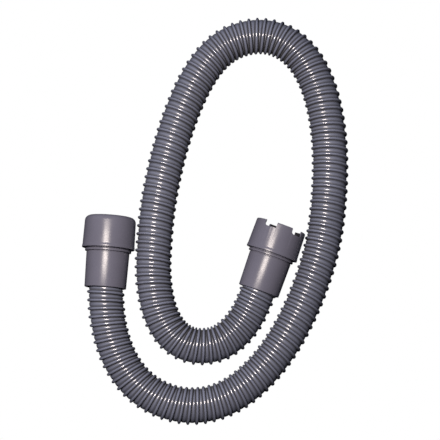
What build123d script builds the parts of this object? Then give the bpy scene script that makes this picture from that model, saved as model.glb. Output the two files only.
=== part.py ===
from build123d import *

# Sewer hose kit for a 3 inch (76 mm bore) holding-tank drain. A spiral-ribbed hose lies on the
# ground in one open oval loop and a half, and ends in two swivel fittings: a bayonet fitting for
# the vehicle's outlet and a plain fitting for a 3 inch drain pipe. Millimetres, +Z up, ground at
# Z = 0, origin on the ground midway between the two fittings.

import os
from math import radians, tan

# Hose. The route is the centre line, from the outlet cuff to the bayonet cuff. It rises from the
# ground at both ends because the swivel collars are wider than the hose.
HOSE_OUTER_RADIUS = 45.25
HOSE_BORE_RADIUS = 38.0
HOSE_ROUTE = [
    (-210.5, -34.5, 61.3),
    (-216.5, -118, 56.5),
    (-190, -237, 48.5),
    (-135, -318, 45.5),
    (-56, -361, 45.5),
    (28, -366, 45.5),
    (108, -333, 45.5),
    (183, -262, 45.5),
    (241, -171, 45.5),
    (286, -68, 45.5),
    (318, 40, 45.5),
    (332, 161, 45.5),
    (334, 277, 45.5),
    (321, 375, 45.5),
    (296, 456, 45.5),
    (253, 519, 45.5),
    (195, 552, 45.5),
    (128, 552, 45.5),
    (63, 521, 45.5),
    (11, 455, 45.5),
    (-32, 359, 45.5),
    (-66, 245, 45.5),
    (-89, 126, 45.5),
    (-97, 30, 45.5),
    (-100, -44, 45.5),
    (-90, -116, 45.5),
    (-70, -168, 45.5),
    (-39, -205, 45.5),
    (6, -223, 45.5),
    (63, -216, 45.5),
    (111, -177, 46.5),
    (144, -122.8, 51.6),
    (171.9, -44, 59.3),
]
ARC_SHARE = 0.45
HOSE_ENGAGEMENT = 45.0

# Swivel collars. Depths are measured inwards from the mouth, along the fitting's axis.
OUTLET_COLLAR_LENGTH = 78.5
BAYONET_COLLAR_LENGTH = 72.0
COLLAR_MOUTH_RADIUS = 61.6
COLLAR_REAR_RADIUS = 63.1
COLLAR_LIP_RADIUS = 63.9
COLLAR_LIP_LENGTH = 7.0
COLLAR_BOSS_RADIUS = 53.5
COLLAR_BOSS_LENGTH = 2.3
WEB_THICKNESS = 12.0
CHAMBER_RADIUS = 50.0
CHAMBER_LENGTH = 15.0

# Bayonet mouth: teeth overhang a recess that the lugs of the mating flange turn into.
PILOT_RADIUS = 56.5
TOOTH_BORE_RADIUS = 57.5
TOOTH_LIP_DEPTH = 7.5
RECESS_RADIUS = 59.6
RECESS_DEPTH = 13.4
BAYONET_RIM_ROUND = 3.5
NOTCH_DEPTH = 14.0
NOTCH_OVERCUT = 6.0
NOTCH_WIDTH = 30.8
NOTCH_CORNER_RADIUS = 6.5
NOTCH_CENTRES = (-22.8, 44.0, 157.2, 224.0)

# Outlet mouth: the wall curls inwards to a rounded lip.
OUTLET_ROUND = 13.0
OUTLET_WALL = 4.5

# Cuffs: a neck that the collar turns on, and a tapered sleeve over the hose.
CUFF_LENGTH_BEHIND_COLLAR = 95.0
NECK_RADIUS = 44.0
SWIVEL_CLEARANCE = 0.05
NECK_LENGTH_IN_COLLAR = 23.0
CUFF_BOSS_RADIUS = 50.7
CUFF_BOSS_LENGTH = 2.3
SLEEVE_FRONT_RADIUS = 52.1
SLEEVE_END_RADIUS = 50.4
SLEEVE_EDGE = 1.2
SLEEVE_BORE_RADIUS = 45.4

# Small parts of each fitting.
FACE_GAP = 0.3
THRUST_RING_RADIUS = 56.0
THRUST_RING_THICKNESS = 5.4
RETAINING_RING_RADIUS = 49.0
RETAINING_RING_THICKNESS = 2.6
RETAINING_GROOVE_RADIUS = 41.8
RETAINING_RING_SPLIT = 8.0
O_RING_SECTION_RADIUS = 1.4
O_RING_OUTER_RADIUS = 43.98
O_RING_DEPTH_IN_WEB = 4.0
FERRULE_INNER_RADIUS = 36.5
FERRULE_LENGTH = 47.0
FERRULE_SETBACK = 8.0
GASKET_INNER_RADIUS = 46.5
GASKET_SEAT_RADIUS = 57.5
GASKET_THICKNESS = 4.0
LIP_SEAL_BORE_RADIUS = 44.6
LIP_SEAL_LENGTH = 20.0
LIP_SEAL_BORE_LENGTH = 12.0

os.makedirs("parts", exist_ok=True)


def save(part, name):
    """Label the finished piece and write its file."""
    part.label = name
    export_step(part, f"parts/{name}.step")


def fitting_plane(hose_end, hose_next, collar_length):
    """The fitting's frame: origin at the mouth, +Z out of it, +X on the side facing up."""
    out = (Vector(*hose_end) - Vector(*hose_next)).normalized()
    seat_depth = collar_length + CUFF_LENGTH_BEHIND_COLLAR - HOSE_ENGAGEMENT
    up = Vector(0, 0, 1) - out * out.Z
    return Plane(Vector(*hose_end) + out * seat_depth, x_dir=up, z_dir=out)


def profile_plane(frame):
    """A half section of the fitting: across is the radius, and up is towards the mouth."""
    return Plane(frame.origin, x_dir=frame.x_dir, z_dir=-frame.y_dir)


def section(*corners):
    """Corners given as (radius, depth), as points on the profile plane."""
    return [(radius, -depth) for radius, depth in corners]


def turned_ring(frame, inner, outer, front, back, edge=0.0):
    """A plain ring about the fitting's axis, between two depths."""
    with BuildPart() as ring:
        with BuildSketch(profile_plane(frame)):
            with Locations(((inner + outer) / 2, -(front + back) / 2)):
                Rectangle(outer - inner, back - front)
        revolve(axis=Axis(frame.origin, frame.z_dir))
        if edge:
            fillet(ring.edges().filter_by(GeomType.CIRCLE).group_by(SortBy.RADIUS)[-1], edge)
    return ring


def hose_path_radii(route):
    """Each corner's arc takes the same share of the shorter run beside it."""
    points = [Vector(*point) for point in route]
    radii = []
    for before, corner, after in zip(points, points[1:], points[2:]):
        run_in = corner - before
        run_out = after - corner
        half_turn = radians(run_in.get_angle(run_out)) / 2
        radii.append(ARC_SHARE * min(run_in.length, run_out.length) / tan(half_turn))
    return radii


def make_hose():
    """The hose as a plain tube from one cuff's seat to the other's."""
    radii = hose_path_radii(HOSE_ROUTE)
    print("hose arc radii", [round(radius) for radius in radii])
    with BuildPart() as hose:
        with BuildLine() as path:
            FilletPolyline(*HOSE_ROUTE, radius=radii)
        with BuildSketch(Plane(path.line @ 0, z_dir=path.line % 0)) as tube_section:
            Circle(HOSE_OUTER_RADIUS)
            Circle(HOSE_BORE_RADIUS, mode=Mode.SUBTRACT)
        sweep(path=path.line)
    length = path.wire().length
    section_volume = tube_section.sketch.area * length
    print("hose length", round(length), "volume ratio", round(hose.part.volume / section_volume, 4))
    save(hose.part, "hose")


def collar_rear(collar_length):
    """The corners behind the socket, shared by both collars, from the outer wall inwards."""
    lip_start = collar_length - COLLAR_LIP_LENGTH
    web_front = collar_length - WEB_THICKNESS
    bore = NECK_RADIUS + SWIVEL_CLEARANCE
    return [
        (COLLAR_REAR_RADIUS, lip_start),
        (COLLAR_LIP_RADIUS, collar_length - SLEEVE_EDGE),
        (COLLAR_LIP_RADIUS - SLEEVE_EDGE, collar_length),
        (COLLAR_BOSS_RADIUS, collar_length),
        (COLLAR_BOSS_RADIUS, collar_length + COLLAR_BOSS_LENGTH),
        (bore, collar_length + COLLAR_BOSS_LENGTH),
        (bore, web_front),
        (CHAMBER_RADIUS, web_front),
        (CHAMBER_RADIUS, web_front - CHAMBER_LENGTH),
    ]


def notch_plane(frame, centre):
    """A plane inside the collar that faces out through a notch, up towards the mouth."""
    facing = frame.x_dir.rotate(Axis((0, 0, 0), frame.z_dir), centre)
    middle = Plane(frame.origin, x_dir=frame.z_dir.cross(facing), z_dir=facing)
    return middle.offset(PILOT_RADIUS / 2)


def make_bayonet_collar(frame):
    """Swivel collar with four rim notches, each rounded where it leads a lug into the recess."""
    gasket_seat = BAYONET_COLLAR_LENGTH - WEB_THICKNESS - CHAMBER_LENGTH
    mouth = section(
        (GASKET_SEAT_RADIUS, gasket_seat),
        (GASKET_SEAT_RADIUS, gasket_seat - GASKET_THICKNESS),
        (PILOT_RADIUS, gasket_seat - GASKET_THICKNESS),
        (PILOT_RADIUS, RECESS_DEPTH),
        (RECESS_RADIUS, RECESS_DEPTH),
        (RECESS_RADIUS, TOOTH_LIP_DEPTH),
        (TOOTH_BORE_RADIUS, TOOTH_LIP_DEPTH),
        (TOOTH_BORE_RADIUS, 0),
        (COLLAR_MOUTH_RADIUS - BAYONET_RIM_ROUND, 0),
    )
    rim_end = section((COLLAR_MOUTH_RADIUS, BAYONET_RIM_ROUND))[0]
    with BuildPart() as collar:
        with BuildSketch(profile_plane(frame)):
            with BuildLine():
                Polyline(*section(*collar_rear(BAYONET_COLLAR_LENGTH)), *mouth)
                RadiusArc(mouth[-1], rim_end, BAYONET_RIM_ROUND)
                Line(rim_end, section(collar_rear(BAYONET_COLLAR_LENGTH)[0])[0])
            make_face()
        revolve(axis=Axis(frame.origin, frame.z_dir))
        for centre in NOTCH_CENTRES:
            with BuildSketch(notch_plane(frame, centre)):
                with Locations((0, (NOTCH_OVERCUT - NOTCH_DEPTH) / 2)):
                    notch = Rectangle(NOTCH_WIDTH, NOTCH_DEPTH + NOTCH_OVERCUT)
                deep_corners = notch.vertices().group_by(Axis.Y)[0]
                fillet(deep_corners.sort_by(Axis.X)[0], NOTCH_CORNER_RADIUS)
            extrude(amount=PILOT_RADIUS, mode=Mode.SUBTRACT)
    save(collar.part, "bayonet_collar")


def make_outlet_collar(frame):
    """Swivel collar with a smooth mouth whose wall curls inwards."""
    centre_radius = COLLAR_MOUTH_RADIUS - OUTLET_ROUND
    inner_radius = COLLAR_MOUTH_RADIUS - OUTLET_WALL
    seal_seat = OUTLET_COLLAR_LENGTH - WEB_THICKNESS - CHAMBER_LENGTH
    inner_arc_end, tip_inner = section((inner_radius, OUTLET_ROUND), (centre_radius, OUTLET_WALL))
    tip_outer, outer_arc_end = section((centre_radius, 0), (COLLAR_MOUTH_RADIUS, OUTLET_ROUND))
    seat = section((inner_radius, seal_seat))[0]
    with BuildPart() as collar:
        with BuildSketch(profile_plane(frame)):
            with BuildLine():
                Polyline(*section(*collar_rear(OUTLET_COLLAR_LENGTH)), seat, inner_arc_end)
                RadiusArc(inner_arc_end, tip_inner, -(OUTLET_ROUND - OUTLET_WALL))
                RadiusArc(tip_inner, tip_outer, OUTLET_WALL / 2)
                RadiusArc(tip_outer, outer_arc_end, OUTLET_ROUND)
                Line(outer_arc_end, section(collar_rear(OUTLET_COLLAR_LENGTH)[0])[0])
            make_face()
        revolve(axis=Axis(frame.origin, frame.z_dir))
    save(collar.part, "outlet_collar")


def make_cuff(frame, collar_length, name):
    """Neck with two grooves, shoulder, and the tapered sleeve that the hose screws into."""
    neck_front = collar_length - NECK_LENGTH_IN_COLLAR
    shoulder = collar_length + COLLAR_BOSS_LENGTH + FACE_GAP + THRUST_RING_THICKNESS
    sleeve_front = shoulder + CUFF_BOSS_LENGTH
    sleeve_end = collar_length + CUFF_LENGTH_BEHIND_COLLAR
    hose_seat = sleeve_end - HOSE_ENGAGEMENT
    profile = section(
        (HOSE_BORE_RADIUS, neck_front),
        (NECK_RADIUS - SLEEVE_EDGE, neck_front),
        (NECK_RADIUS, neck_front + SLEEVE_EDGE),
        (NECK_RADIUS, shoulder),
        (CUFF_BOSS_RADIUS, shoulder),
        (CUFF_BOSS_RADIUS, sleeve_front),
        (SLEEVE_FRONT_RADIUS, sleeve_front + SLEEVE_EDGE),
        (SLEEVE_END_RADIUS, sleeve_end - SLEEVE_EDGE),
        (SLEEVE_END_RADIUS - SLEEVE_EDGE, sleeve_end),
        (SLEEVE_BORE_RADIUS, sleeve_end),
        (SLEEVE_BORE_RADIUS, hose_seat),
        (HOSE_BORE_RADIUS, hose_seat),
    )
    ring_back = collar_length - WEB_THICKNESS - FACE_GAP
    o_ring_depth = collar_length - O_RING_DEPTH_IN_WEB
    grooves = (
        (RETAINING_GROOVE_RADIUS, ring_back - RETAINING_RING_THICKNESS / 2, RETAINING_RING_THICKNESS),
        (O_RING_OUTER_RADIUS - 2 * O_RING_SECTION_RADIUS, o_ring_depth, 3 * O_RING_SECTION_RADIUS),
    )
    with BuildPart() as cuff:
        with BuildSketch(profile_plane(frame)):
            with BuildLine():
                Polyline(*profile, close=True)
            make_face()
            for floor_radius, depth, width in grooves:
                with Locations(((floor_radius + NECK_RADIUS) / 2, -depth)):
                    Rectangle(NECK_RADIUS - floor_radius, width, mode=Mode.SUBTRACT)
        revolve(axis=Axis(frame.origin, frame.z_dir))
    save(cuff.part, name)


def make_retaining_ring(frame, collar_length, name):
    """Split ring in the neck's front groove: the collar's web can't pass it."""
    back = collar_length - WEB_THICKNESS - FACE_GAP
    front = back - RETAINING_RING_THICKNESS
    ring = turned_ring(frame, RETAINING_GROOVE_RADIUS, RETAINING_RING_RADIUS, front, back)
    with BuildPart() as split_ring:
        add(ring.part)
        with BuildSketch(frame.offset(-back)):
            with Locations((RETAINING_RING_RADIUS, 0)):
                Rectangle(RETAINING_RING_RADIUS, RETAINING_RING_SPLIT)
        extrude(amount=RETAINING_RING_THICKNESS, mode=Mode.SUBTRACT)
    save(split_ring.part, name)


def make_o_ring(frame, collar_length, name):
    """Seal in the neck's rear groove, inside the collar's web."""
    centre_radius = O_RING_OUTER_RADIUS - O_RING_SECTION_RADIUS
    with BuildPart() as o_ring:
        with BuildSketch(profile_plane(frame)):
            with Locations((centre_radius, O_RING_DEPTH_IN_WEB - collar_length)):
                Circle(O_RING_SECTION_RADIUS)
        revolve(axis=Axis(frame.origin, frame.z_dir))
    save(o_ring.part, name)


def make_gasket(frame):
    """Flat ring in a groove at the bottom of the bayonet socket, which the spigot presses."""
    seat = BAYONET_COLLAR_LENGTH - WEB_THICKNESS - CHAMBER_LENGTH
    front = seat - GASKET_THICKNESS
    gasket = turned_ring(frame, GASKET_INNER_RADIUS, GASKET_SEAT_RADIUS, front, seat)
    save(gasket.part, "bayonet_gasket")


def make_lip_seal(frame):
    """Soft ring in the outlet collar, with the bore that grips a 3 inch pipe."""
    seat = OUTLET_COLLAR_LENGTH - WEB_THICKNESS - CHAMBER_LENGTH
    front = seat - LIP_SEAL_LENGTH
    taper = (LIP_SEAL_LENGTH - LIP_SEAL_BORE_LENGTH) / 2
    outer_radius = COLLAR_MOUTH_RADIUS - OUTLET_WALL
    with BuildPart() as lip_seal:
        with BuildSketch(profile_plane(frame)):
            with BuildLine():
                Polyline(
                    *section(
                        (outer_radius, front),
                        (outer_radius, seat),
                        (LIP_SEAL_BORE_RADIUS + 2 * taper, seat),
                        (LIP_SEAL_BORE_RADIUS, seat - taper),
                        (LIP_SEAL_BORE_RADIUS, front + taper),
                        (LIP_SEAL_BORE_RADIUS + taper, front),
                    ),
                    close=True,
                )
            make_face()
        revolve(axis=Axis(frame.origin, frame.z_dir))
    save(lip_seal.part, "outlet_lip_seal")


def make_fitting_pieces(frame, collar_length, end):
    """The pieces that both ends share."""
    thrust_front = collar_length + COLLAR_BOSS_LENGTH + FACE_GAP
    thrust_back = thrust_front + THRUST_RING_THICKNESS
    ferrule_back = collar_length + CUFF_LENGTH_BEHIND_COLLAR - FERRULE_SETBACK
    ferrule_front = ferrule_back - FERRULE_LENGTH
    make_cuff(frame, collar_length, f"{end}_cuff")
    make_retaining_ring(frame, collar_length, f"{end}_retaining_ring")
    make_o_ring(frame, collar_length, f"{end}_o_ring")
    thrust_ring = turned_ring(
        frame, NECK_RADIUS, THRUST_RING_RADIUS, thrust_front, thrust_back, edge=SLEEVE_EDGE
    )
    save(thrust_ring.part, f"{end}_thrust_ring")
    ferrule = turned_ring(
        frame, FERRULE_INNER_RADIUS, HOSE_BORE_RADIUS, ferrule_front, ferrule_back
    )
    save(ferrule.part, f"{end}_ferrule")


outlet = fitting_plane(HOSE_ROUTE[0], HOSE_ROUTE[1], OUTLET_COLLAR_LENGTH)
bayonet = fitting_plane(HOSE_ROUTE[-1], HOSE_ROUTE[-2], BAYONET_COLLAR_LENGTH)
print("outlet mouth", outlet.origin, "axis", outlet.z_dir)
print("bayonet mouth", bayonet.origin, "axis", bayonet.z_dir)

make_hose()
make_outlet_collar(outlet)
make_lip_seal(outlet)
make_fitting_pieces(outlet, OUTLET_COLLAR_LENGTH, "outlet")
make_bayonet_collar(bayonet)
make_gasket(bayonet)
make_fitting_pieces(bayonet, BAYONET_COLLAR_LENGTH, "bayonet")
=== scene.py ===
import math

import bmesh
import bpy
import numpy as np
from mathutils import Matrix, Vector


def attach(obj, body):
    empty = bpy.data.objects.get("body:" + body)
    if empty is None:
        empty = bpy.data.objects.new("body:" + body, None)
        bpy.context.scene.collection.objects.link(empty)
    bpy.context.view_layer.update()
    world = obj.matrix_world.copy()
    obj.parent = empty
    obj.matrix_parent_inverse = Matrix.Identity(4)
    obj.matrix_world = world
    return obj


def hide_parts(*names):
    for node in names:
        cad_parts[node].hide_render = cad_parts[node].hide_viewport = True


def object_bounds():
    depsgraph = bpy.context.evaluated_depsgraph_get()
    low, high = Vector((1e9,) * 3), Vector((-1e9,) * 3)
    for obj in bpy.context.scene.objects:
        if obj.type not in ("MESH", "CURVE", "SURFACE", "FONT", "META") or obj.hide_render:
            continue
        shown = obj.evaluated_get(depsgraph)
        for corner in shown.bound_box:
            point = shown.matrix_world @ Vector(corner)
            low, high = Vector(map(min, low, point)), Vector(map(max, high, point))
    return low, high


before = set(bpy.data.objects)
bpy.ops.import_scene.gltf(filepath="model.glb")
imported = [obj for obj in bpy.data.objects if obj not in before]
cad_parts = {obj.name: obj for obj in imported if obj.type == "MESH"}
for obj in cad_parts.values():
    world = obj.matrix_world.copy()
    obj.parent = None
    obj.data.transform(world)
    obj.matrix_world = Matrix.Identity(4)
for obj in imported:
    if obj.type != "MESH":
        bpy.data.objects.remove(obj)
cad_low, cad_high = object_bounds()

# A ribbed sewer hose with a swivel fitting at each end. Lengths are in metres. Depths in a
# fitting are measured inwards from its mouth, along its axis.

# ---------------------------------------------------------------- camera

CAMERA_ELEVATION = math.radians(80)
CAMERA_DISTANCE = 5.0
VIEW_WIDTH = 1.0824
SENSOR_WIDTH = 36.0
LOOK_FROM_CENTRE = Vector((0.0097, 0.0035, 0))


def make_camera():
    """Look down steeply on the middle of the loops, from far away. Gives the point looked at."""
    middle = (cad_low + cad_high) / 2
    target = Vector((middle.x, middle.y, 0)) + LOOK_FROM_CENTRE
    back = Vector((0, -math.cos(CAMERA_ELEVATION), math.sin(CAMERA_ELEVATION)))
    data = bpy.data.cameras.new("camera")
    data.sensor_width = SENSOR_WIDTH
    data.lens = SENSOR_WIDTH * CAMERA_DISTANCE / VIEW_WIDTH
    camera = bpy.data.objects.new("camera", data)
    camera.location = target + back * CAMERA_DISTANCE
    camera.rotation_euler = (-back).to_track_quat("-Z", "Y").to_euler()
    bpy.context.scene.collection.objects.link(camera)
    bpy.context.scene.camera = camera
    return target


target = make_camera()

# ---------------------------------------------------------------- hose

CREST_RADIUS = 0.04525
ROOT_RADIUS = 0.0400
BORE_RADIUS = 0.0380
HOSE_ENGAGEMENT = 0.045
HOSE_ROUTE = [
    (-0.2105, -0.0345, 0.0613),
    (-0.2165, -0.118, 0.0565),
    (-0.190, -0.237, 0.0485),
    (-0.135, -0.318, 0.0455),
    (-0.056, -0.361, 0.0455),
    (0.028, -0.366, 0.0455),
    (0.108, -0.333, 0.0455),
    (0.183, -0.262, 0.0455),
    (0.241, -0.171, 0.0455),
    (0.286, -0.068, 0.0455),
    (0.318, 0.040, 0.0455),
    (0.332, 0.161, 0.0455),
    (0.334, 0.277, 0.0455),
    (0.321, 0.375, 0.0455),
    (0.296, 0.456, 0.0455),
    (0.253, 0.519, 0.0455),
    (0.195, 0.552, 0.0455),
    (0.128, 0.552, 0.0455),
    (0.063, 0.521, 0.0455),
    (0.011, 0.455, 0.0455),
    (-0.032, 0.359, 0.0455),
    (-0.066, 0.245, 0.0455),
    (-0.089, 0.126, 0.0455),
    (-0.097, 0.030, 0.0455),
    (-0.100, -0.044, 0.0455),
    (-0.090, -0.116, 0.0455),
    (-0.070, -0.168, 0.0455),
    (-0.039, -0.205, 0.0455),
    (0.006, -0.223, 0.0455),
    (0.063, -0.216, 0.0455),
    (0.111, -0.177, 0.0465),
    (0.144, -0.1228, 0.0516),
    (0.1719, -0.044, 0.0593),
]

# The ribs wind round the hose as one left-handed helix, closer together where it is bent.
SIDES = 42
RIB_PITCH = 0.0201
RIB_PITCH_BENT = 0.0153
BENT_CURVATURE = 9.6
SPARE_TURNS_BEFORE = 1
SPARE_TURNS_AFTER = 2

# Along the hose, a turn is a rib's outline and then the band up to the next rib. Heights are
# above the root, and a band's places are shares of its width.
RIB_OFFSETS = np.array([-4.9, -3.9, -2.9, -1.9, -1.0, 0, 1.0, 1.9, 2.9, 3.9, 4.9]) / 1000
RIB_HEIGHTS = np.array([-1.2, 1.2, 3.3, 4.75, 5.2, 5.25, 5.2, 4.75, 3.3, 1.2, -1.2]) / 1000
BAND_SHARES = np.array([0.14, 0.5, 0.86])
BAND_SHAPE = np.array([0.4, 1.0, 0.4])
MOST_RIB_SHARE = 0.82
BAND_WIDTH = 0.0116
BAND_BULGE = 0.0005
BULGE_GAIN = 0.35
LEAST_BULGE = 0.0001
MOST_BULGE = 0.0022
MOST_BULGE_SHARE = 0.35
RIB_FADE_START = 0.012
RIB_FADE_END = 0.030

# Painted shade and dullness of the skin: darker colour and rougher gloss at the feet of the ribs
# always, and on the bands where they are squeezed.
RIB_SHADE_AND_DULLNESS = np.array([1.0, 0.95, 0.5, 0, 0, 0, 0, 0, 0.5, 0.95, 1.0])
BAND_SHADE_AND_DULLNESS = np.array([0.5, 0, 0.5])
LEAST_SHADE_AND_DULLNESS = 0.55
SHADE_AND_DULLNESS_GAIN = 2.2
DARK_BAND_SQUEEZE = 0.5
DARK_BAND_GAIN = 2.4

BORE_RING_SPACING = 0.030
SPLINE_ORDER = 3
SAMPLES_PER_SPAN = 24
LEAST_STEP = 1e-7
CURVATURE_WINDOW = 15
PITCH_SAMPLES = 4000


def spline_points(route):
    """Points along the smooth spline that has the route's points as its control points."""
    data = bpy.data.curves.new("route", "CURVE")
    data.dimensions = "3D"
    spline = data.splines.new("NURBS")
    spline.points.add(len(route) - 1)
    for point, place in zip(spline.points, route):
        point.co = (*place, 1)
    spline.order_u = SPLINE_ORDER
    spline.use_endpoint_u = True
    spline.resolution_u = SAMPLES_PER_SPAN
    guide = bpy.data.objects.new("route", data)
    mesh = bpy.data.meshes.new_from_object(guide)
    points = np.array([vertex.co for vertex in mesh.vertices], dtype=float)
    bpy.data.objects.remove(guide)
    bpy.data.meshes.remove(mesh)
    return points


class Line:
    """The hose's centre line by distance along it: its places, directions and curvature."""

    def __init__(self, points):
        steps = np.linalg.norm(np.diff(points, axis=0), axis=1)
        points = points[np.concatenate(([True], steps > LEAST_STEP))]
        steps = np.linalg.norm(np.diff(points, axis=0), axis=1)
        self.points = points
        self.along = np.concatenate(([0], np.cumsum(steps)))
        self.length = self.along[-1]
        ahead = np.gradient(points, self.along, axis=0)
        self.ahead = ahead / np.linalg.norm(ahead, axis=1, keepdims=True)
        bend = np.gradient(self.ahead, self.along, axis=0)
        window = np.hanning(CURVATURE_WINDOW + 2)[1:-1]
        window /= window.sum()
        half = CURVATURE_WINDOW // 2
        padded = np.pad(bend, ((half, half), (0, 0)), mode="edge")
        self.bend = np.array([np.convolve(column, window, "valid") for column in padded.T]).T

    def read(self, values, at):
        """Values of the line at distances along it."""
        at = np.clip(at, 0, self.length)
        return np.stack([np.interp(at, self.along, column) for column in values.T], axis=-1)

    def frame(self, at):
        """Place and the directions ahead, right and up at distances along the line."""
        ahead = self.read(self.ahead, at)
        ahead /= np.linalg.norm(ahead, axis=-1, keepdims=True)
        right = np.cross(ahead, (0, 0, 1))
        right /= np.linalg.norm(right, axis=-1, keepdims=True)
        return self.read(self.points, at), ahead, right, np.cross(right, ahead)

    def around(self, at, angle, radius):
        """Points on the hose's skin; the angle is from the top towards the right."""
        place, _, right, up = self.frame(at)
        across = np.cos(angle)[..., None] * up + np.sin(angle)[..., None] * right
        return place + radius[..., None] * across


def smooth_step(x):
    x = np.clip(x, 0, 1)
    return x * x * (3 - 2 * x)


def helix_centres(line):
    """How far along the line the helix is after each of its steps, a bit past both ends."""
    fine = np.linspace(0, line.length, PITCH_SAMPLES)
    curvature = np.linalg.norm(line.read(line.bend, fine), axis=-1)
    bent = np.clip(curvature / BENT_CURVATURE, 0, 1)
    pitch = RIB_PITCH + (RIB_PITCH_BENT - RIB_PITCH) * bent
    turns = np.concatenate(([0], np.cumsum(np.diff(fine) / ((pitch[1:] + pitch[:-1]) / 2))))
    count = math.ceil(turns[-1] + SPARE_TURNS_BEFORE + SPARE_TURNS_AFTER) * SIDES
    wanted = np.arange(count) / SIDES - SPARE_TURNS_BEFORE
    inside = np.interp(wanted, turns, fine)
    before = np.minimum(wanted, 0) * RIB_PITCH
    after = np.maximum(wanted - turns[-1], 0) * RIB_PITCH
    return inside + before + after


def hose_skin(line):
    """The ribbed skin as a grid: for each step of the helix, the points up to its next turn.

    Gives the points' distances along the line, their places and how much painted shade and
    dullness they get.
    """
    centre = helix_centres(line)
    start, after = centre[:-SIDES], centre[SIDES:]
    pitch = after - start
    angle = -2 * math.pi * np.arange(len(start)) / SIDES

    _, _, right, up = line.frame(start)
    radial = np.cos(angle)[:, None] * up + np.sin(angle)[:, None] * right
    bend = line.read(line.bend, start)
    stretch = 1 - CREST_RADIUS * np.einsum("ij,ij->i", bend, radial)
    half_rib = np.minimum(RIB_OFFSETS[-1] / stretch, MOST_RIB_SHARE * pitch / 2)
    rib = start[:, None] + half_rib[:, None] * (RIB_OFFSETS / RIB_OFFSETS[-1])
    gap_start = rib[:, -1]
    gap_end = after - np.append(half_rib[SIDES:], half_rib[-SIDES:])
    band = gap_start[:, None] + (gap_end - gap_start)[:, None] * BAND_SHARES
    at = np.concatenate((rib, band), axis=1)

    # The band between two ribs bulges where a bend presses them together.
    gap = (gap_end - gap_start) * stretch
    bulge = np.clip(BAND_BULGE + BULGE_GAIN * (BAND_WIDTH - gap), LEAST_BULGE, MOST_BULGE)
    bulge = np.minimum(bulge, MOST_BULGE_SHARE * gap)
    rib_height = RIB_HEIGHTS[None, :].repeat(len(start), axis=0)
    height = np.concatenate((rib_height, bulge[:, None] * BAND_SHAPE), axis=1)
    from_end = np.minimum(at, line.length - at)
    height *= smooth_step((from_end - RIB_FADE_START) / (RIB_FADE_END - RIB_FADE_START))
    skin = line.around(at, angle[:, None].repeat(at.shape[1], axis=1), ROOT_RADIUS + height)

    # Painted shade: the feet of the ribs, and bands squeezed by a bend, get a darkened colour
    # (and a duller gloss).
    squeeze = 1 - gap / BAND_WIDTH
    shade_and_dullness_strength = np.clip(LEAST_SHADE_AND_DULLNESS + SHADE_AND_DULLNESS_GAIN * squeeze, LEAST_SHADE_AND_DULLNESS, 1)
    shade_and_dullness = np.outer(shade_and_dullness_strength, np.concatenate((RIB_SHADE_AND_DULLNESS, BAND_SHADE_AND_DULLNESS)))
    dark_band = np.maximum(DARK_BAND_GAIN * (squeeze - DARK_BAND_SQUEEZE), 0)
    shade_and_dullness[:, len(RIB_SHADE_AND_DULLNESS) :] += dark_band[:, None]
    return at, skin, np.minimum(shade_and_dullness, 1)


def skin_faces(number):
    """Faces of the skin's grid. The end of a step's row meets the start of the next turn's."""
    columns, rows = number.shape
    faces = []
    for column in range(columns - 1):
        for row in range(rows):
            if row < rows - 1:
                corners = number[column, row], number[column, row + 1]
                others = number[column + 1, row + 1], number[column + 1, row]
            elif column + 1 + SIDES < columns:
                corners = number[column, row], number[column + SIDES, 0]
                others = number[column + 1 + SIDES, 0], number[column + 1, row]
            else:
                continue
            loop = list(dict.fromkeys(int(n) for n in (*corners, *others)))
            if len(loop) > 2:
                faces.append(loop)
    return faces


def plain_rings(line, at, radius):
    """Rings of points round the line at distances along it."""
    full = np.ones((len(at), SIDES))
    angle = -2 * math.pi * np.arange(SIDES) / SIDES
    return line.around(np.array(at)[:, None] * full, angle[None, :] * full, radius * full)


def ring_faces(one, other):
    """Faces between two rings, each given by the number of its first point."""
    sides = [(k, (k + 1) % SIDES) for k in range(SIDES)]
    return [[one + k, one + after, other + after, other + k] for k, after in sides]


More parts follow.
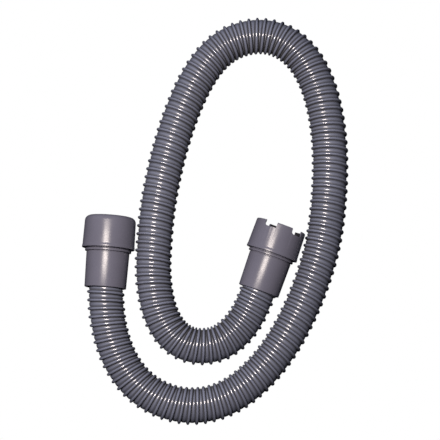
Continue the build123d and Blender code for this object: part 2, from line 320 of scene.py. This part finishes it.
def make_hose(line):
    """The hose as one closed mesh: ribbed skin, two flat ends and the bore."""
    at, skin, skin_shade_and_dullness = hose_skin(line)
    ring_count = round(line.length / BORE_RING_SPACING) + 1
    bore = plain_rings(line, np.linspace(0, line.length, ring_count), BORE_RADIUS)
    ends = plain_rings(line, [0.0, line.length], ROOT_RADIUS)
    vertices = np.concatenate([points.reshape(-1, 3) for points in (ends, bore, skin)])
    first_bore = 2 * SIDES
    last_bore = first_bore + (ring_count - 1) * SIDES
    first_skin = last_bore + SIDES

    # Skin points beyond an end become the points of that end's ring.
    number = first_skin + np.arange(at.size).reshape(at.shape)
    side = (np.arange(at.shape[0]) % SIDES)[:, None].repeat(at.shape[1], axis=1)
    number = np.where(at <= 0, side, number)
    number = np.where(at >= line.length, SIDES + side, number)

    faces = skin_faces(number)
    for ring in range(first_bore, last_bore, SIDES):
        faces += ring_faces(ring, ring + SIDES)
    faces += ring_faces(0, first_bore)
    faces += ring_faces(SIDES, last_bore)

    mesh = bpy.data.meshes.new("hose")
    mesh.from_pydata(vertices.tolist(), [], faces)
    # Each skin point's painted shade and dullness; the ends and the bore get none.
    shade_and_dullness = np.zeros(len(vertices))
    shade_and_dullness[first_skin:] = skin_shade_and_dullness.ravel()
    mesh.attributes.new("shade_and_dullness", "FLOAT", "POINT").data.foreach_set("value", shade_and_dullness)
    tidy = bmesh.new()
    tidy.from_mesh(mesh)
    loose = [vertex for vertex in tidy.verts if not vertex.link_faces]
    bmesh.ops.delete(tidy, geom=loose, context="VERTS")
    bmesh.ops.recalc_face_normals(tidy, faces=tidy.faces)
    print("hose triangles", sum(len(face.verts) - 2 for face in tidy.faces))
    print("hose open edges", sum(1 for edge in tidy.edges if len(edge.link_faces) != 2))
    tidy.to_mesh(mesh)
    tidy.free()
    mesh.shade_smooth()
    hose = bpy.data.objects.new("ribbed_hose", mesh)
    bpy.context.scene.collection.objects.link(hose)
    return hose


hose_line = Line(spline_points(HOSE_ROUTE))
hose = make_hose(hose_line)
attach(hose, "hose_line")
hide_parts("hose")

# ---------------------------------------------------------------- fittings

OUTLET_COLLAR_LENGTH = 0.0785
BAYONET_COLLAR_LENGTH = 0.072
CUFF_LENGTH_BEHIND_COLLAR = 0.095
COLLAR_MOUTH_RADIUS = 0.0616
COLLAR_REAR_RADIUS = 0.0631
COLLAR_LIP_RADIUS = 0.0639
COLLAR_SWELL_FROM_REAR = (0.0085, 0.0040)
COLLAR_BOSS_RADIUS = 0.0535
COLLAR_BOSS_LENGTH = 0.0023
COLLAR_NECK_RADIUS = 0.04405
COLLAR_REAR_WALL = 0.012
RING_CHAMBER_RADIUS = 0.0500
SEAT_FROM_REAR = 0.027
PIPE_SOCKET_RADIUS = 0.0571
OUTLET_MOUTH_RADIUS = 0.04635
OUTLET_LIP_DEPTH = 0.0045
BAYONET_SOCKET_RADIUS = 0.0575
BAYONET_RECESS_RADIUS = 0.0596
BAYONET_RECESS_DEPTHS = (0.0075, 0.0134)
BAYONET_BORE_RADIUS = 0.0565
GASKET_LEDGE = 0.004
NECK_RADIUS = 0.0440
NECK_START_FROM_REAR = 0.023
SNAP_GROOVE_RADIUS = 0.0418
SNAP_GROOVE_WIDTH = 0.0026
SNAP_GROOVE_FROM_REAR = 0.0123
SEAL_GROOVE_RADIUS = 0.04118
SEAL_GROOVE_FROM_REAR = (0.0061, 0.0019)
SHOULDER_BEHIND_COLLAR = 0.0080
SLEEVE_RIM_RADIUS = 0.0507
SLEEVE_RIM_LENGTH = 0.0023
SLEEVE_FRONT_RADIUS = 0.0521
SLEEVE_BACK_RADIUS = 0.0504
HOSE_SOCKET_RADIUS = 0.0454
THRUST_RING_RADII = (0.0441, 0.0560)
THRUST_RING_START = 0.0026
LIP_SEAL_RADII = (0.0446, 0.0486, 0.0526)
LIP_SEAL_LENGTH = 0.020
LIP_SEAL_CHAMFER = 0.004
GASKET_RADIUS = 0.0465
LATHE_SEGMENTS = 192
ARC_STEPS = 6
SHARP_ANGLE = math.radians(40)
MERGE_DISTANCE = 1e-6


def fitting_axes(route_end, route_next, collar_length):
    """A matrix from the fitting's own axes (X up, Z out of the mouth) to the shared frame."""
    out = (Vector(route_end) - Vector(route_next)).normalized()
    up = (Vector((0, 0, 1)) - out * out.z).normalized()
    seat = collar_length + CUFF_LENGTH_BEHIND_COLLAR - HOSE_ENGAGEMENT
    axes = Matrix((up, out.cross(up), out)).transposed().to_4x4()
    axes.translation = Vector(route_end) + out * seat
    return axes


def rounded(corners):
    """Points (radius, depth) round an outline whose corners are (radius, depth, round)."""
    points = []
    for i, (radius, depth, rounding) in enumerate(corners):
        here = np.array((radius, depth))
        if not rounding:
            points.append(here)
            continue
        before = np.array(corners[i - 1][:2]) - here
        after = np.array(corners[(i + 1) % len(corners)][:2]) - here
        before /= np.linalg.norm(before)
        after /= np.linalg.norm(after)
        half_angle = math.acos(np.clip(before @ after, -1, 1)) / 2
        inwards = (before + after) / np.linalg.norm(before + after)
        middle = here + inwards * rounding / math.sin(half_angle)
        first = here + before * rounding / math.tan(half_angle) - middle
        second = here + after * rounding / math.tan(half_angle) - middle
        sweep = math.pi - 2 * half_angle
        for step in range(ARC_STEPS + 1):
            share = step / ARC_STEPS
            one = math.sin((1 - share) * sweep) / math.sin(sweep)
            other = math.sin(share * sweep) / math.sin(sweep)
            points.append(middle + first * one + second * other)
    return points


def lathe(name, axes, outline):
    """A solid of revolution from a closed outline of (radius, depth) points."""
    mesh = bpy.data.meshes.new(name)
    build = bmesh.new()
    rings = []
    for segment in range(LATHE_SEGMENTS):
        turn = 2 * math.pi * segment / LATHE_SEGMENTS
        rings.append(
            [
                build.verts.new((r * math.cos(turn), r * math.sin(turn), -depth))
                for r, depth in outline
            ]
        )
    for ring, following in zip(rings, rings[1:] + rings[:1]):
        for i in range(len(outline)):
            j = (i + 1) % len(outline)
            build.faces.new((ring[i], ring[j], following[j], following[i]))
    bmesh.ops.remove_doubles(build, verts=build.verts, dist=MERGE_DISTANCE)
    bmesh.ops.recalc_face_normals(build, faces=build.faces)
    build.transform(axes)
    build.to_mesh(mesh)
    build.free()
    mesh.shade_smooth()
    mesh.set_sharp_from_angle(angle=SHARP_ANGLE)
    piece = bpy.data.objects.new(name, mesh)
    bpy.context.scene.collection.objects.link(piece)
    return piece


def collar_rear(length):
    """The rear of both collars, from the outer wall round to the socket's ledge."""
    swell_start, swell_end = COLLAR_SWELL_FROM_REAR
    return [
        (COLLAR_REAR_RADIUS, length - swell_start, 0.006),
        (COLLAR_LIP_RADIUS, length - swell_end, 0.003),
        (COLLAR_LIP_RADIUS, length, 0.0009),
        (COLLAR_BOSS_RADIUS, length, 0.0004),
        (COLLAR_BOSS_RADIUS, length + COLLAR_BOSS_LENGTH, 0.0004),
        (COLLAR_NECK_RADIUS, length + COLLAR_BOSS_LENGTH, 0.0006),
        (COLLAR_NECK_RADIUS, length - COLLAR_REAR_WALL, 0.0006),
        (RING_CHAMBER_RADIUS, length - COLLAR_REAR_WALL, 0.0006),
        (RING_CHAMBER_RADIUS, length - SEAT_FROM_REAR, 0.0006),
    ]


def outlet_collar_outline():
    """Smooth mouth whose wall curls inwards to a rounded lip."""
    mouth = [
        (PIPE_SOCKET_RADIUS, OUTLET_COLLAR_LENGTH - SEAT_FROM_REAR, 0.0006),
        (PIPE_SOCKET_RADIUS, OUTLET_LIP_DEPTH, 0.0084),
        (OUTLET_MOUTH_RADIUS, OUTLET_LIP_DEPTH, 0.0022),
        (OUTLET_MOUTH_RADIUS, 0.0, 0.0022),
        (COLLAR_MOUTH_RADIUS, 0.0, 0.0129),
    ]
    return rounded(collar_rear(OUTLET_COLLAR_LENGTH) + mouth)


def bayonet_collar_outline():
    """Socket with a recess behind the rim, which the notches lead into."""
    seat = BAYONET_COLLAR_LENGTH - SEAT_FROM_REAR
    recess_front, recess_back = BAYONET_RECESS_DEPTHS
    mouth = [
        (BAYONET_SOCKET_RADIUS, seat, 0.0006),
        (BAYONET_SOCKET_RADIUS, seat - GASKET_LEDGE, 0.0004),
        (BAYONET_BORE_RADIUS, seat - GASKET_LEDGE, 0.0004),
        (BAYONET_BORE_RADIUS, recess_back, 0.0006),
        (BAYONET_RECESS_RADIUS, recess_back, 0.0006),
        (BAYONET_RECESS_RADIUS, recess_front, 0.0006),
        (BAYONET_SOCKET_RADIUS, recess_front, 0.0006),
        (BAYONET_SOCKET_RADIUS, 0.0, 0.0006),
        (COLLAR_MOUTH_RADIUS, 0.0, 0.0030),
    ]
    return rounded(collar_rear(BAYONET_COLLAR_LENGTH) + mouth)


def cuff_outline(length):
    """Neck inside the collar, shoulder, and the tapered sleeve over the hose."""
    shoulder = length + SHOULDER_BEHIND_COLLAR
    end = length + CUFF_LENGTH_BEHIND_COLLAR
    snap_back = length - SNAP_GROOVE_FROM_REAR
    snap_front = snap_back - SNAP_GROOVE_WIDTH
    seal_front, seal_back = (length - depth for depth in SEAL_GROOVE_FROM_REAR)
    return rounded(
        [
            (BORE_RADIUS, length - NECK_START_FROM_REAR, 0.0008),
            (NECK_RADIUS, length - NECK_START_FROM_REAR, 0.0012),
            (NECK_RADIUS, snap_front, 0),
            (SNAP_GROOVE_RADIUS, snap_front, 0),
            (SNAP_GROOVE_RADIUS, snap_back, 0),
            (NECK_RADIUS, snap_back, 0),
            (NECK_RADIUS, seal_front, 0),
            (SEAL_GROOVE_RADIUS, seal_front, 0),
            (SEAL_GROOVE_RADIUS, seal_back, 0),
            (NECK_RADIUS, seal_back, 0),
            (NECK_RADIUS, shoulder, 0),
            (SLEEVE_RIM_RADIUS, shoulder, 0.0004),
            (SLEEVE_RIM_RADIUS, shoulder + SLEEVE_RIM_LENGTH, 0.0004),
            (SLEEVE_FRONT_RADIUS, shoulder + SLEEVE_RIM_LENGTH, 0.0011),
            (SLEEVE_BACK_RADIUS, end, 0.0011),
            (HOSE_SOCKET_RADIUS, end, 0.0008),
            (HOSE_SOCKET_RADIUS, end - HOSE_ENGAGEMENT, 0.0005),
            (BORE_RADIUS, end - HOSE_ENGAGEMENT, 0.0005),
        ]
    )


def thrust_ring_outline(length):
    inner, outer = THRUST_RING_RADII
    return rounded(
        [
            (inner, length + THRUST_RING_START, 0.0005),
            (outer, length + THRUST_RING_START, 0.0012),
            (outer, length + SHOULDER_BEHIND_COLLAR, 0.0012),
            (inner, length + SHOULDER_BEHIND_COLLAR, 0.0005),
        ]
    )


def lip_seal_outline():
    seat = OUTLET_COLLAR_LENGTH - SEAT_FROM_REAR
    lip, front, back = LIP_SEAL_RADII
    return rounded(
        [
            (PIPE_SOCKET_RADIUS, seat - LIP_SEAL_LENGTH, 0.0008),
            (PIPE_SOCKET_RADIUS, seat, 0.0005),
            (back, seat, 0.0010),
            (lip, seat - LIP_SEAL_CHAMFER, 0.0015),
            (lip, seat - LIP_SEAL_LENGTH + LIP_SEAL_CHAMFER, 0.0015),
            (front, seat - LIP_SEAL_LENGTH, 0.0010),
        ]
    )


def gasket_outline():
    seat = BAYONET_COLLAR_LENGTH - SEAT_FROM_REAR
    return rounded(
        [
            (GASKET_RADIUS, seat - GASKET_LEDGE, 0.0010),
            (BAYONET_SOCKET_RADIUS, seat - GASKET_LEDGE, 0.0006),
            (BAYONET_SOCKET_RADIUS, seat, 0.0006),
            (GASKET_RADIUS, seat, 0.0010),
        ]
    )


# Notch centres are degrees round the fitting's axis, from its upper side.
NOTCH_CENTRES = (-22.8, 44.0, 157.2, 224.0)
NOTCH_WIDTH = 0.0308
NOTCH_DEPTH = 0.014
NOTCH_OVERCUT = 0.006
NOTCH_CORNER_RADIUS = 0.0065
NOTCH_START_RADIUS = 0.028
NOTCH_END_RADIUS = 0.085
NOTCH_EDGE = 0.0007
NOTCH_EDGE_STEPS = 3
CORNER_STEPS = 10


def notch_cutter(axes, centre):
    """A block through the wall at one notch, rounded at its deep corner."""
    turn = math.radians(centre)
    facing = Vector((math.cos(turn), math.sin(turn), 0))
    side = Vector((0, 0, 1)).cross(facing)
    half = NOTCH_WIDTH / 2
    outline = [(-half, NOTCH_OVERCUT), (half, NOTCH_OVERCUT), (half, -NOTCH_DEPTH)]
    for step in range(CORNER_STEPS + 1):
        share = math.pi / 2 * step / CORNER_STEPS
        outline.append(
            (
                -half + NOTCH_CORNER_RADIUS * (1 - math.sin(share)),
                -NOTCH_DEPTH + NOTCH_CORNER_RADIUS * (1 - math.cos(share)),
            )
        )
    build = bmesh.new()
    start = facing * NOTCH_START_RADIUS
    inner = [build.verts.new(start + side * x + Vector((0, 0, z))) for x, z in outline]
    outward = facing * (NOTCH_END_RADIUS - NOTCH_START_RADIUS)
    outer = [build.verts.new(vertex.co + outward) for vertex in inner]
    build.faces.new(inner)
    build.faces.new(outer[::-1])
    for i in range(len(outline)):
        j = (i + 1) % len(outline)
        build.faces.new((inner[i], outer[i], outer[j], inner[j]))
    bmesh.ops.recalc_face_normals(build, faces=build.faces)
    build.transform(axes)
    mesh = bpy.data.meshes.new("notch")
    build.to_mesh(mesh)
    build.free()
    cutter = bpy.data.objects.new("notch", mesh)
    bpy.context.scene.collection.objects.link(cutter)
    return cutter


def cut_notches(collar, axes):
    """Cut the rim's notches and soften their edges."""
    cutters = [notch_cutter(axes, centre) for centre in NOTCH_CENTRES]
    for cutter in cutters:
        cut = collar.modifiers.new("notch", "BOOLEAN")
        cut.operation = "DIFFERENCE"
        cut.solver = "EXACT"
        cut.object = cutter
    soften = collar.modifiers.new("edge", "BEVEL")
    soften.width = NOTCH_EDGE
    soften.segments = NOTCH_EDGE_STEPS
    soften.limit_method = "ANGLE"
    soften.angle_limit = SHARP_ANGLE
    bpy.context.view_layer.update()
    depsgraph = bpy.context.evaluated_depsgraph_get()
    mesh = bpy.data.meshes.new_from_object(collar.evaluated_get(depsgraph))
    collar.modifiers.clear()
    collar.data = mesh
    mesh.shade_smooth()
    mesh.set_sharp_from_angle(angle=SHARP_ANGLE)
    for cutter in cutters:
        bpy.data.objects.remove(cutter)


outlet_axes = fitting_axes(HOSE_ROUTE[0], HOSE_ROUTE[1], OUTLET_COLLAR_LENGTH)
bayonet_axes = fitting_axes(HOSE_ROUTE[-1], HOSE_ROUTE[-2], BAYONET_COLLAR_LENGTH)

# piece, axes, outline, body, CAD node, slot
TURNED_PIECES = [
    (
        "outlet_collar_shell", outlet_axes, outlet_collar_outline(),
        "outlet_swivel", "outlet_collar", "fitting_plastic",
    ),
    (
        "outlet_pipe_seal", outlet_axes, lip_seal_outline(),
        "outlet_swivel", "outlet_lip_seal", "seal_rubber",
    ),
    (
        "outlet_cuff_sleeve", outlet_axes, cuff_outline(OUTLET_COLLAR_LENGTH),
        "hose_line", "outlet_cuff", "fitting_plastic",
    ),
    (
        "outlet_thrust_washer", outlet_axes, thrust_ring_outline(OUTLET_COLLAR_LENGTH),
        "hose_line", "outlet_thrust_ring", "fitting_plastic",
    ),
    (
        "bayonet_collar_shell", bayonet_axes, bayonet_collar_outline(),
        "bayonet_swivel", "bayonet_collar", "fitting_plastic",
    ),
    (
        "bayonet_face_seal", bayonet_axes, gasket_outline(),
        "bayonet_swivel", "bayonet_gasket", "seal_rubber",
    ),
    (
        "bayonet_cuff_sleeve", bayonet_axes, cuff_outline(BAYONET_COLLAR_LENGTH),
        "hose_line", "bayonet_cuff", "fitting_plastic",
    ),
    (
        "bayonet_thrust_washer", bayonet_axes, thrust_ring_outline(BAYONET_COLLAR_LENGTH),
        "hose_line", "bayonet_thrust_ring", "fitting_plastic",
    ),
]

made = {}
for name, axes, outline, body, node, slot in TURNED_PIECES:
    piece = lathe(name, axes, outline)
    if node == "bayonet_collar":
        cut_notches(piece, axes)
    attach(piece, body)
    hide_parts(node)
    made[name] = piece

# ---------------------------------------------------------------- materials

# colour, roughness, shine, mottle, bump, bump's noise scale
LOOKS = {
    "hose_vinyl": ((0.064, 0.070, 0.096), 0.18, 0.5, 0.06, 0.012, 900),
    "fitting_plastic": ((0.051, 0.051, 0.068), 0.27, 0.15, 0.05, 0.03, 700),
    # Near-black: the hidden rings' own plastic, also used as painted shade on the collars' inner
    # faces.
    "ring_plastic": ((0.010, 0.010, 0.012), 0.45, 0.3, 0.08, 0.10, 420),
    "seal_rubber": ((0.007, 0.007, 0.008), 0.55, 0.3, 0.15, 0.20, 500),
}
HIDDEN_RINGS = {
    "retaining_ring": "ring_plastic",
    "o_ring": "seal_rubber",
    "ferrule": "ring_plastic",
}
NOISE_RANGE = (0.3, 0.7)
MOTTLE_SCALE = 14
MOTTLE_DETAIL = 5
WEAR_SCALE = 60
WEAR_DETAIL = 6
WEAR_RANGE = (0.9, 1.12)
GRAIN_DETAIL = 3
GRAIN_DEPTH = 0.0004
# Painted shade: the colour the hose's creases are darkened towards.
PAINTED_SHADE_COLOUR = (0.001, 0.001, 0.002, 1)
CREASE_ROUGHNESS = 0.9
BORE_FACING = -0.5


def node_material(name, colour, roughness, shine, mottle, bump, bump_scale):
    """Moulded or extruded plastic: a faintly mottled colour, with uneven gloss and surface."""
    material = bpy.data.materials.new(name)
    material.use_nodes = True
    nodes = material.node_tree.nodes
    links = material.node_tree.links
    shader = nodes["Principled BSDF"]
    shader.inputs["Specular IOR Level"].default_value = shine
    place = nodes.new("ShaderNodeTexCoord")

    def noise(scale, detail):
        node = nodes.new("ShaderNodeTexNoise")
        node.inputs["Scale"].default_value = scale
        node.inputs["Detail"].default_value = detail
        links.new(place.outputs["Object"], node.inputs["Vector"])
        return node.outputs["Fac"]

    shade = nodes.new("ShaderNodeValToRGB")
    darker = [channel * (1 - mottle) for channel in colour]
    lighter = [channel * (1 + mottle) for channel in colour]
    for stop, position, tint in zip(shade.color_ramp.elements, NOISE_RANGE, (darker, lighter)):
        stop.position = position
        stop.color = (*tint, 1)
    links.new(noise(MOTTLE_SCALE, MOTTLE_DETAIL), shade.inputs["Fac"])
    links.new(shade.outputs["Color"], shader.inputs["Base Color"])

    gloss = nodes.new("ShaderNodeMapRange")
    gloss.inputs["From Min"].default_value = NOISE_RANGE[0]
    gloss.inputs["From Max"].default_value = NOISE_RANGE[1]
    gloss.inputs["To Min"].default_value = roughness * WEAR_RANGE[0]
    gloss.inputs["To Max"].default_value = roughness * WEAR_RANGE[1]
    links.new(noise(WEAR_SCALE, WEAR_DETAIL), gloss.inputs["Value"])
    links.new(gloss.outputs["Result"], shader.inputs["Roughness"])

    relief = nodes.new("ShaderNodeBump")
    relief.inputs["Strength"].default_value = bump
    relief.inputs["Distance"].default_value = GRAIN_DEPTH
    links.new(noise(bump_scale, GRAIN_DETAIL), relief.inputs["Height"])
    links.new(relief.outputs["Normal"], shader.inputs["Normal"])
    return material


def socket(sockets, identifier):
    """A mix node's sockets share their names, so they are told apart by identifier."""
    return next(each for each in sockets if each.identifier == identifier)


def paint_shade_and_dull_creases(material):
    """Paint shade into the hose's colour and make it duller, where its skin's shade-and-dullness
    value says so.
    """
    nodes = material.node_tree.nodes
    links = material.node_tree.links
    shader = nodes["Principled BSDF"]
    shade_and_dullness = nodes.new("ShaderNodeAttribute")
    shade_and_dullness.attribute_name = "shade_and_dullness"

    def mix_in(kind, masked, target):
        unmasked = target.links[0].from_socket
        mix = nodes.new("ShaderNodeMix")
        mix.data_type = kind
        suffix = "Color" if kind == "RGBA" else "Float"
        socket(mix.inputs, f"B_{suffix}").default_value = masked
        links.new(shade_and_dullness.outputs["Fac"], socket(mix.inputs, "Factor_Float"))
        links.new(unmasked, socket(mix.inputs, f"A_{suffix}"))
        links.new(socket(mix.outputs, f"Result_{suffix}"), target)

    # Painted shade in the base colour; the roughness is raised in the same places.
    mix_in("RGBA", PAINTED_SHADE_COLOUR, shader.inputs["Base Color"])
    mix_in("FLOAT", CREASE_ROUGHNESS, shader.inputs["Roughness"])


def paint_bore_shade(collar, axes):
    """Paint shade inside a collar: the faces that look inwards get the near-black ring plastic.
    """
    collar.data.materials.append(MATERIALS["ring_plastic"])
    to_fitting = axes.inverted()
    for face in collar.data.polygons:
        outward = (to_fitting @ face.center).xy.normalized()
        facing = (to_fitting.to_3x3() @ face.normal).xy
        face.material_index = 1 if facing.dot(outward) < BORE_FACING else 0


MATERIALS = {name: node_material(name, *look) for name, look in LOOKS.items()}
paint_shade_and_dull_creases(MATERIALS["hose_vinyl"])
hose.data.materials.append(MATERIALS["hose_vinyl"])
for name, *_, slot in TURNED_PIECES:
    made[name].data.materials.clear()
    made[name].data.materials.append(MATERIALS[slot])
# Painted shade on the inner faces of both collars.
paint_bore_shade(made["outlet_collar_shell"], outlet_axes)
paint_bore_shade(made["bayonet_collar_shell"], bayonet_axes)
for end in ("outlet", "bayonet"):
    for ring, slot in HIDDEN_RINGS.items():
        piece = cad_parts[f"{end}_{ring}"]
        piece.data.materials.clear()
        piece.data.materials.append(MATERIALS[slot])

# ---------------------------------------------------------------- floor and light

FLOOR_SIZE = 60.0
KEY_DISTANCE = 3.2
KEY_WIDTH = 0.60
KEY_LENGTH = 1.25
KEY_POWER = 305
KEY_COLOUR = (1.0, 0.89, 0.81)
KEY_DIRECTION = Vector((-0.235, 0.05, 0.97)).normalized()
ROOM_DIRECTION = (-0.30, 0.60, 0.74)
ROOM_DARK = (0.010, 0.010, 0.012, 1)
ROOM_BRIGHT = (0.80, 0.89, 1.10, 1)
ROOM_DARK_UP_TO = 0.25
WHITE = (1, 1, 1, 1)


def make_floor():
    """White ground that neither lights, shades nor mirrors the object."""
    mesh = bpy.data.meshes.new("floor")
    build = bmesh.new()
    bmesh.ops.create_grid(build, x_segments=1, y_segments=1, size=FLOOR_SIZE / 2)
    build.to_mesh(mesh)
    build.free()
    floor = bpy.data.objects.new("floor", mesh)
    bpy.context.scene.collection.objects.link(floor)
    floor.location = target
    material = bpy.data.materials.new("floor")
    material.use_nodes = True
    nodes = material.node_tree.nodes
    nodes.clear()
    glow = nodes.new("ShaderNodeEmission")
    glow.inputs["Color"].default_value = WHITE
    glow.inputs["Strength"].default_value = 1.0
    output = nodes.new("ShaderNodeOutputMaterial")
    material.node_tree.links.new(glow.outputs["Emission"], output.inputs["Surface"])
    mesh.materials.append(material)
    floor.visible_diffuse = False
    floor.visible_glossy = False
    floor.visible_shadow = False


def make_key_light():
    """A long soft lamp overhead, whose reflection is the row of glints along the hose."""
    data = bpy.data.lights.new("key", "AREA")
    data.shape = "RECTANGLE"
    data.size = KEY_WIDTH
    data.size_y = KEY_LENGTH
    data.color = KEY_COLOUR
    data.energy = KEY_POWER
    light = bpy.data.objects.new("key", data)
    light.location = target + KEY_DIRECTION * KEY_DISTANCE
    light.rotation_euler = (-KEY_DIRECTION).to_track_quat("-Z", "Y").to_euler()
    bpy.context.scene.collection.objects.link(light)


def make_world():
    """A room bright overhead and to the back, dark to the front; the camera sees white."""
    world = bpy.data.worlds.new("room")
    bpy.context.scene.world = world
    world.use_nodes = True
    nodes = world.node_tree.nodes
    links = world.node_tree.links
    nodes.clear()
    place = nodes.new("ShaderNodeTexCoord")
    facing = nodes.new("ShaderNodeVectorMath")
    facing.operation = "DOT_PRODUCT"
    facing.inputs[1].default_value = ROOM_DIRECTION
    links.new(place.outputs["Generated"], facing.inputs[0])
    ramp = nodes.new("ShaderNodeValToRGB")
    ramp.color_ramp.elements[0].position = ROOM_DARK_UP_TO
    ramp.color_ramp.elements[0].color = ROOM_DARK
    ramp.color_ramp.elements[1].position = 1.0
    ramp.color_ramp.elements[1].color = ROOM_BRIGHT
    links.new(facing.outputs["Value"], ramp.inputs["Fac"])
    room = nodes.new("ShaderNodeBackground")
    links.new(ramp.outputs["Color"], room.inputs["Color"])
    backdrop = nodes.new("ShaderNodeBackground")
    backdrop.inputs["Color"].default_value = WHITE
    seen = nodes.new("ShaderNodeLightPath")
    mix = nodes.new("ShaderNodeMixShader")
    links.new(seen.outputs["Is Camera Ray"], mix.inputs["Fac"])
    links.new(room.outputs["Background"], mix.inputs[1])
    links.new(backdrop.outputs["Background"], mix.inputs[2])
    output = nodes.new("ShaderNodeOutputWorld")
    links.new(mix.outputs["Shader"], output.inputs["Surface"])


make_floor()
make_key_light()
make_world()
bpy.context.scene.view_settings.view_transform = "Standard"
